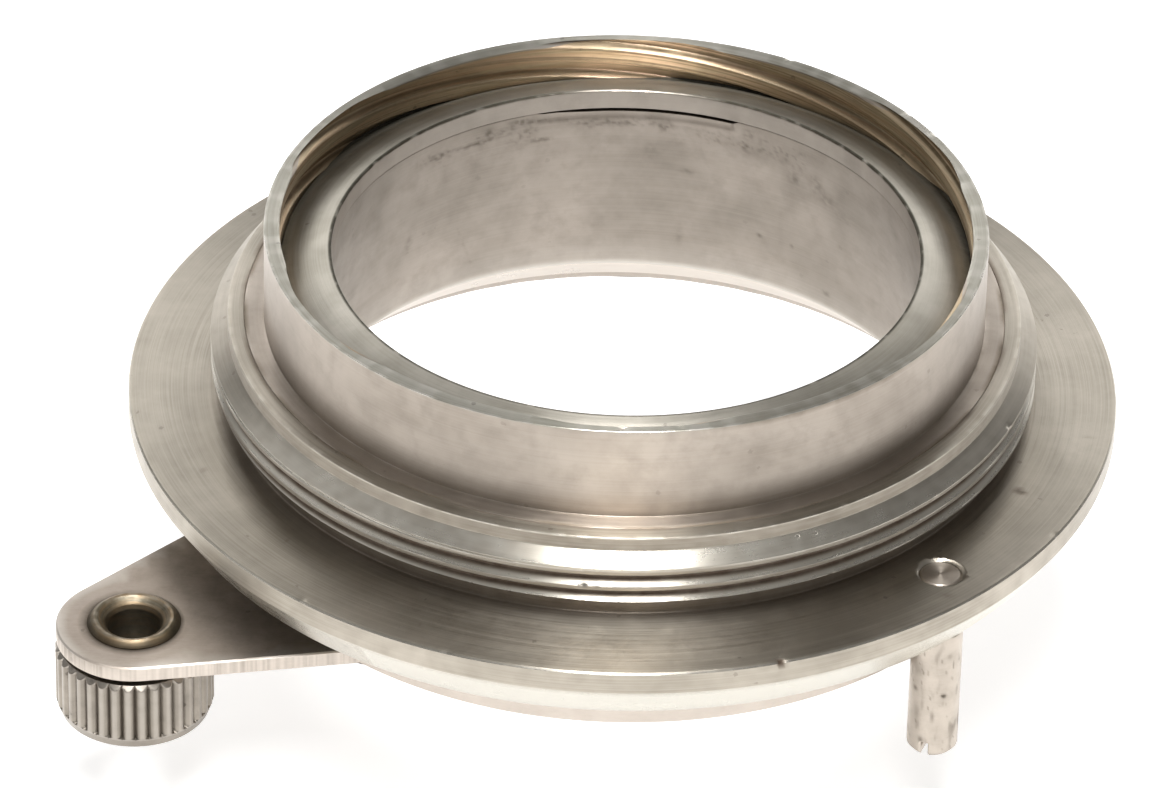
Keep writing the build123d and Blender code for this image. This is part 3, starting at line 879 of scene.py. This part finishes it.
def lever_plate():
    def circle(cx, cy, r, n):
        return [(cx + r * cos(2 * pi * i / n), cy + r * sin(2 * pi * i / n)) for i in range(n)]

    loops_out = [(0.10, ZT), (0.0, ZT - 0.09), (0.0, ZT - 0.13), (0.0, ZB + 0.14), (0.0, ZB + 0.10), (0.10, ZB)]
    ring_in = [(bevel_r(ZT), ZT), (bevel_r(-6.85), -6.85), (bevel_r(ZB + 0.05), ZB + 0.05), (bevel_r(ZB) + 0.05, ZB)]
    hole_in = [(1.97, ZT), (1.97, ZB)]
    verts, faces, attrs = [], [], {"dirt": [], "worn": []}

    def add(loop, z, dirt, worn):
        base = len(verts)
        for x, y in loop:
            verts.append((x, y, z))
            attrs["dirt"].append(dirt(x, y) if callable(dirt) else dirt)
            attrs["worn"].append(worn(x, y) if callable(worn) else worn)
        return list(range(base, base + len(loop)))

    def bridge(a, b, flip=False):
        n = len(a)
        for i in range(n):
            j = (i + 1) % n
            f = (a[i], a[j], b[j], b[i])
            faces.append(f[::-1] if flip else f)

    def shade(x, y):
        # painted shade where the plate runs in under the flange, and a painted shadow ring round the rivet
        q = hypot(x - E[0], y - E[1])
        k = 0.55 * (1 - smooth(28.0, 33.0, hypot(x, y)))
        k = max(k, 0.9 * exp(-((q - 2.75) / 0.22) ** 2))
        return min(1, k)

    def edge_worn(x, y):
        w = mnoise.noise(Vector((x * 0.35, y * 0.35, 3.0)))
        return 0.95 * smooth(-0.6, 0.1, w) if hypot(x, y) > 24 else 0.3

    def filed(x, y):
        # file marks standing across the edge
        q = mnoise.noise(Vector((x * 6.5, y * 6.5, 0.5))) + 0.8 * mnoise.noise(Vector((x * 19, y * 19, 2.5)))
        return max(0.0, min(1.0, 0.10 + 0.26 * q)) if hypot(x, y) > 23.9 else 0.08

    O = [add(plate_outline(d), z,
             (shade if k == 0 else filed if k in (2, 3) else 0.05),
             (edge_worn if k < 2 else 0.35))
         for k, (d, z) in enumerate(loops_out)]
    for a, b in zip(O, O[1:]):
        bridge(a, b)
    n1, n2 = 240, 48
    I = [add(circle(0, 0, r, n1), z, 0.2, 0.1) for r, z in ring_in]
    for a, b in zip(I, I[1:]):
        bridge(a, b)
    H = [add(circle(E[0], E[1], r, n2), z, 0.9, 0.0) for r, z in hole_in]
    for a, b in zip(H, H[1:]):
        bridge(a, b)
    # top and bottom faces: filled between the loops; the top also gets a few inner rings
    # and a grid of points, so that the surface attributes vary smoothly
    for top in (True, False):
        o, i, h = (O[0], I[0], H[0]) if top else (O[-1], I[-1], H[-1])
        z = ZT if top else ZB
        ids = o + i + h
        co = [Vector(verts[k][:2]) for k in ids]
        edges = []
        for s, n in ((0, len(o)), (len(o), len(i)), (len(o) + len(i), len(h))):
            edges += [(s + k, s + (k + 1) % n) for k in range(n)]
        if top:
            extra = []
            for q in (2.35, 2.6, 2.75, 2.95, 3.3, 3.8):
                extra += [(E[0] + q * cos(a * pi / 24), E[1] + q * sin(a * pi / 24)) for a in range(48)]
            for gx in range(-32, -14):
                for gy in range(-24, -4):
                    x, y = gx + 0.013 * gy, gy + 0.011 * gx
                    if hypot(x - E[0], y - E[1]) > 4.9 and hypot(x, y) > 22.0:
                        extra.append((x, y))
            poly = plate_outline(0.5)

            def inside(x, y):
                c = False
                for k in range(len(poly)):
                    x0, y0 = poly[k]
                    x1, y1 = poly[k - 1]
                    if (y0 > y) != (y1 > y) and x < (x1 - x0) * (y - y0) / (y1 - y0) + x0:
                        c = not c
                return c
            for x, y in extra:
                if inside(x, y):
                    ids.append(add([(x, y)], z, shade, 0.0)[0])
                    co.append(Vector((x, y)))
        vs, es, fs, ov, oe, of_ = delaunay_2d_cdt(co, edges, [], 0, 1e-7)
        back = []
        for k in range(len(vs)):
            back.append(ids[ov[k][0]])
        for f in fs:
            cx = sum(vs[k].x for k in f) / len(f)
            cy = sum(vs[k].y for k in f) / len(f)
            if hypot(cx, cy) < (bevel_r(ZT) if top else bevel_r(ZB)):
                continue
            if hypot(cx - E[0], cy - E[1]) < 1.96:
                continue
            # outside the outline in the two concave corners
            R2 = hypot(cx, cy)
            if R2 > PLATE_R - 0.001:
                e = Vector(E)
                v = Vector((cx, cy)) - e
                nn = Vector((cos(radians(NEAR_DIR + 90)), sin(radians(NEAR_DIR + 90))))
                nf = Vector((cos(radians(FAR_DIR - 90)), sin(radians(FAR_DIR - 90))))
                inset = 0.10
                if v.dot(nn) > END_R - inset or v.dot(nf) > END_R - inset:
                    continue
            faces.append(tuple(back[k] for k in f))
    # drop points that the fill left unused
    used = sorted({k for f in faces for k in f})
    m = {k: i for i, k in enumerate(used)}
    verts2 = [verts[k] for k in used]
    at2 = {n: [v[k] for k in used] for n, v in attrs.items()}
    faces2 = [tuple(m[k] for k in f) for f in faces]
    # painted shade on the arm's end, darker towards the end
    for k, (x, y, z) in enumerate(verts2):
        if z > ZB + 0.5:
            painted_end_shade = 0.25 * (1 - smooth(E[0] - 3.0, E[0] + 1.8, x))
            at2["dirt"][k] = min(1.0, at2["dirt"][k] + painted_end_shade)
    return new_object("lever_plate_filed", verts2, faces2, m_plate, at2, sharp=25)


plate = lever_plate()
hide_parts("lever_plate")
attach(plate, "focus_tube")


# -------------------------------------------------------------- 6. knob eyelet
def eyelet():
    pts = [(1.95, ZT), (2.66, ZT), (2.72, ZT + 0.06), (2.62, ZT + 0.20),
           (2.45, ZT + 0.36), (2.28, ZT + 0.45), (2.12, ZT + 0.41), (1.90, ZT + 0.25),
           (1.68, ZT + 0.05), (1.56, ZT - 0.20), (1.54, ZT - 0.5), (1.54, -11.45), (1.80, -11.70),
           (2.58, -11.70), (2.70, -11.58), (2.70, -10.95), (1.95, -10.95)]
    prof = fillet(pts, [0, 0.03, 0.04, 0.1, 0.1, 0.08, 0.1, 0.15, 0.15, 0.1, 0.1, 0.05, 0.05, 0.05, 0.05, 0.05, 0])
    prof = resample(prof + [prof[0]], 0.18)[:-1]

    def shape(r, z, th, i):
        if z > ZT + 0.15:
            # the lip was rolled by hand, so its crest wanders a little
            z -= 0.02 * (1 + mnoise.noise(Vector((2.2 * cos(th), 2.2 * sin(th), 1.0))))
        return r, z

    def mark(r, z, th, r0, z0, i):
        w = mnoise.noise(Vector((5 * cos(th), 5 * sin(th), z * 2.0 + 7)))
        dirt = 0.25 * smooth(0.0, 0.5, w)
        worn = 0.0
        if z0 > ZT + 0.38 and 2.1 < r0 < 2.42:
            worn = 0.40 * smooth(-0.3, 0.4, w)
        if r0 < 1.75 and z0 < ZT + 0.1:
            # painted shade, darker deeper in the hole
            dirt = max(dirt, 0.30 + 0.45 * smooth(ZT - 0.2, ZT - 1.2, z0))
        if r0 > 2.40 and ZT - 0.1 < z0 < ZT + 0.42:
            # painted shadow ring at the outer foot of the rolled lip
            dirt = max(dirt, 0.80 * smooth(2.36, 2.60, r0) + 0.1 * w)
        return {"dirt": dirt, "worn": worn}

    return lathe("eyelet_rolled", prof, 96, m_brass, shape, mark, centre=E)


eye = eyelet()
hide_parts("knob_eyelet")
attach(eye, "focus_tube")

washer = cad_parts["rivet_washer"]
washer.data.materials.clear()
washer.data.materials.append(m_brass)


# --------------------------------------------------------------- 7. focus knob
def knob():
    pts = [(2.00, -7.72), (4.30, -7.72), (4.58, -8.00), (4.58, -11.35), (4.52, -11.48),
           (4.33, -12.04), (4.24, -12.10), (3.25, -12.10), (3.25, -10.90), (2.00, -10.90)]
    prof = fillet(pts, [0.05, 0.05, 0.04, 0.02, 0.03, 0.05, 0.05, 0.08, 0, 0.05])
    prof = resample(prof + [prof[0]], lambda r, z: 0.08 if r > 4.0 else 0.3)[:-1]
    COUNT, DEPTH = 36, 0.27
    ph0 = 4.0

    def lobe(th):
        t = ((degrees(th) - ph0) * COUNT / 360) % 1.0
        d = abs(t - 0.5) * 2                     # 0 on a ridge, 1 in a valley
        return 4.58 - DEPTH * (d ** 2.2)

    def shape(r, z, th, i):
        if r > 4.0 and z > -11.32:
            r = min(r, lobe(th))
        elif r > 4.0 and z > -11.55:
            # run-out of the knurl into the plain rim
            k = smooth(-11.55, -11.32, z)
            r = min(r, lobe(th) * k + 4.7 * (1 - k))
        return r, z

    def mark(r, z, th, r0, z0, i):
        dirt = worn = 0.0
        w = mnoise.noise(Vector((6 * cos(th), 6 * sin(th), z * 0.8)))
        if r0 > 4.0 and z0 > -11.5:
            g = (4.58 - r) / DEPTH if r0 > 4.54 else 0.0
            dirt = 0.60 * smooth(0.55, 1.0, g) + 0.1 * w
            worn = 0.45 * (1 - smooth(0.0, 0.2, g))
        if r0 < 3.6:
            dirt = 0.3
        return {"dirt": max(0, dirt), "worn": max(0, worn)}

    return lathe("focus_knob_knurled", prof, 36 * 18, m_knob, shape, mark, centre=E, sharp=28)


kn = knob()
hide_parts("focus_knob")
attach(kn, "knob")


# ----------------------------------------------------------------- 8. stop pin
def pin():
    pts = [(0.0, -0.09), (1.08, -0.09), (1.20, -0.20), (1.20, -3.72), (1.475, -3.72),
           (1.475, -11.80), (1.20, -12.10), (0.0, -12.10)]
    prof = fillet(pts, [0, 0.04, 0.03, 0, 0.03, 0.06, 0.05, 0], closed=False)
    prof = resample(prof, lambda r, z: 0.12)
    n = 96
    verts, faces = [], []
    idx = []
    for r, z in prof:
        if r < 1e-6:
            idx.append([len(verts)])
            verts.append((PIN[0], PIN[1], z))
        else:
            row = []
            for j in range(n):
                a = 2 * pi * j / n
                row.append(len(verts))
                rr = r
                if r > 1.3:
                    rr -= 0.012 * (1 + mnoise.noise(Vector((3 * cos(a), 3 * sin(a), z * 0.6))))
                zz = z
                if z > -0.2:
                    # lathe marks on the end face
                    zz -= 0.006 * (1 + cos(r * 26.0))
                verts.append((PIN[0] + rr * cos(a), PIN[1] + rr * sin(a), zz))
            idx.append(row)
    for a, b in zip(idx, idx[1:]):
        for j in range(n):
            k = (j + 1) % n
            if len(a) == 1:
                faces.append((a[0], b[j], b[k]))
            elif len(b) == 1:
                faces.append((a[j], a[k], b[0]))
            else:
                faces.append((a[j], a[k], b[k], b[j]))
    dirt = []
    for x, y, z in verts:
        q = Vector((x * 2.3, y * 2.3, z * 0.85))
        d = 0.35 * smooth(0.18, 0.55, mnoise.noise(q))
        d += 0.50 * smooth(0.42, 0.60, mnoise.noise(q * 2.6)) * smooth(-0.2, 0.3, mnoise.noise(q * 0.6))
        d += 0.35 * (1 - smooth(-12.1, -11.6, z))
        a = degrees(atan2(y - PIN[1], x - PIN[0])) % 360
        for sa, sz, wa, wz, amt in ((290.0, -7.75, 5.0, 0.13, 1.0), (286.0, -7.70, 4.0, 0.09, 0.8),
                                    (265.0, -9.2, 4.0, 0.36, 0.55), (219.0, -7.5, 6.0, 0.14, 0.7),
                                    (226.0, -9.1, 7.0, 0.60, 0.35), (240.0, -10.95, 6.0, 0.20, 0.7),
                                    (300.0, -5.0, 6.0, 0.20, 0.3), (230.0, -6.4, 16.0, 0.9, 0.22)):
            q = ((a - sa) / wa) ** 2 + ((z - sz) / wz) ** 2
            if q < 6 and z < -0.3:
                d += amt * exp(-q)
        dirt.append(min(1.0, d) if z < -0.3 else 0.10)
    ob = new_object("stop_pin_turned", verts, faces, m_pin,
                    {"dirt": dirt, "worn": [0.0] * len(verts)}, centre=PIN)
    # screwdriver slot
    d = radians(69.4)
    ux, uy = cos(d), sin(d)
    v, f = [], []
    for z in (-12.6, -11.10):
        for s, t in ((-2.2, -0.25), (2.2, -0.25), (2.2, 0.25), (-2.2, 0.25)):
            v.append((PIN[0] + ux * s - uy * t, PIN[1] + uy * s + ux * t, z))
    f = [(0, 1, 2, 3), (4, 7, 6, 5), (0, 4, 5, 1), (1, 5, 6, 2), (2, 6, 7, 3), (3, 7, 4, 0)]
    cutter = new_object("cutter", v, f, m_pin)
    boolean(ob, cutter)
    return ob


pin_ob = pin()
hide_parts("stop_pin")
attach(pin_ob, "mount")

# ----------------------------------------------------------------------- stage
def simple(name, col, rough):
    m = bpy.data.materials.new(name)
    m.use_nodes = True
    nt = m.node_tree
    bs = nt.nodes["Principled BSDF"]
    tc = nt.nodes.new("ShaderNodeTexCoord")
    nz = nt.nodes.new("ShaderNodeTexNoise")
    nz.inputs["Scale"].default_value = 3.0
    rp = nt.nodes.new("ShaderNodeValToRGB")
    rp.color_ramp.elements[0].color = (*[c * 0.985 for c in col], 1)
    rp.color_ramp.elements[1].color = (*col, 1)
    nt.links.new(tc.outputs["Object"], nz.inputs["Vector"])
    nt.links.new(nz.outputs[0], rp.inputs[0])
    nt.links.new(rp.outputs[0], bs.inputs["Base Color"])
    bs.inputs["Roughness"].default_value = rough
    bs.inputs["Specular IOR Level"].default_value = 0.1
    bs.inputs["Emission Color"].default_value = (1, 1, 1, 1)
    bs.inputs["Emission Strength"].default_value = 0.56
    return m


fl = bpy.data.meshes.new("floor")
S = 4.0
zf = -18.20 * MM
fl.from_pydata([(-S, -S, zf), (S, -S, zf), (S, S, zf), (-S, S, zf)], [], [(0, 1, 2, 3)])
floor_ob = bpy.data.objects.new("floor", fl)
bpy.context.scene.collection.objects.link(floor_ob)
fl.materials.append(simple("floor_paper", (0.93, 0.93, 0.93), 0.9))

world = bpy.data.worlds.new("studio")
bpy.context.scene.world = world
world.use_nodes = True
bg = world.node_tree.nodes["Background"]
bg.inputs[0].default_value = (1.0, 0.99, 0.98, 1)
bg.inputs[1].default_value = 0.24


def area(name, loc, target, size, power, col=(1, 1, 1)):
    d = bpy.data.lights.new(name, "AREA")
    d.shape = "RECTANGLE"
    d.size, d.size_y = size
    d.energy = power
    d.color = col
    o = bpy.data.objects.new(name, d)
    bpy.context.scene.collection.objects.link(o)
    o.location = loc
    o.rotation_euler = (Vector(target) - Vector(loc)).to_track_quat("-Z", "Y").to_euler()
    return o


def lamp(name, az, el, dist, size, power, col=(1, 1, 1)):
    """A softbox seen from the object at azimuth az (0 is behind it, + to the
    right) and elevation el."""
    a, e = radians(az), radians(el)
    loc = (dist * sin(a) * cos(e), dist * cos(a) * cos(e), dist * sin(e))
    return area(name, loc, (0, 0, 0), size, power, col)


lamp("overhead", 180, 74, 0.95, (0.24, 0.84), 10.4)
lamp("ceiling", 180, 86, 1.25, (1.40, 1.10), 1.3)
lamp("backdrop", 0, 12, 1.10, (2.20, 0.50), 3.2)
lamp("back_left", -19, 33, 0.90, (0.28, 0.44), 0.76)
lamp("back_right", 18, 32, 0.90, (0.24, 0.42), 0.60)
lamp("left_wall", -80, 40, 1.10, (0.90, 0.80), 0.9)
lamp("fill_left", -14, 53, 1.00, (0.32, 0.28), 0.13)

vs = bpy.context.scene.view_settings
vs.view_transform = "Standard"
vs.look = "None"

# ---------------------------------------------------------------------- camera
EL, ROLL, DIST = radians(34.27), radians(-1.466), 0.470
F_PX, W_PX, H_PX = 8000.0, 1170.0, 788.0
U0, V0 = 622.6, 381.1
s_, c_ = sin(EL), cos(EL)
fwd = Vector((0, c_, -s_))
right = Vector((1, 0, 0))
upv = Vector((0, s_, c_))
d = Vector(((U0 - W_PX / 2) / F_PX, -(V0 - H_PX / 2) / F_PX, 1)).normalized()
Rl = Matrix((right, upv, fwd))
cr, sr = cos(ROLL), sin(ROLL)
Rr = Matrix(((cr, -sr, 0), (sr, cr, 0), (0, 0, 1)))
Rc = Vector((0, 0, 1)).rotation_difference(d).to_matrix()
R = Rc @ Rr @ Rl
rot = Matrix((R[0], R[1], -R[2])).transposed().to_4x4()
cam_d = bpy.data.cameras.new("camera")
cam_d.sensor_width = 36.0
cam_d.lens = F_PX / W_PX * 36.0
cam_d.clip_start = 0.01
cam_d.clip_end = 20
cam = bpy.data.objects.new("camera", cam_d)
bpy.context.scene.collection.objects.link(cam)
cam.matrix_world = Matrix.Translation(-DIST * fwd) @ rot
bpy.context.scene.camera = cam
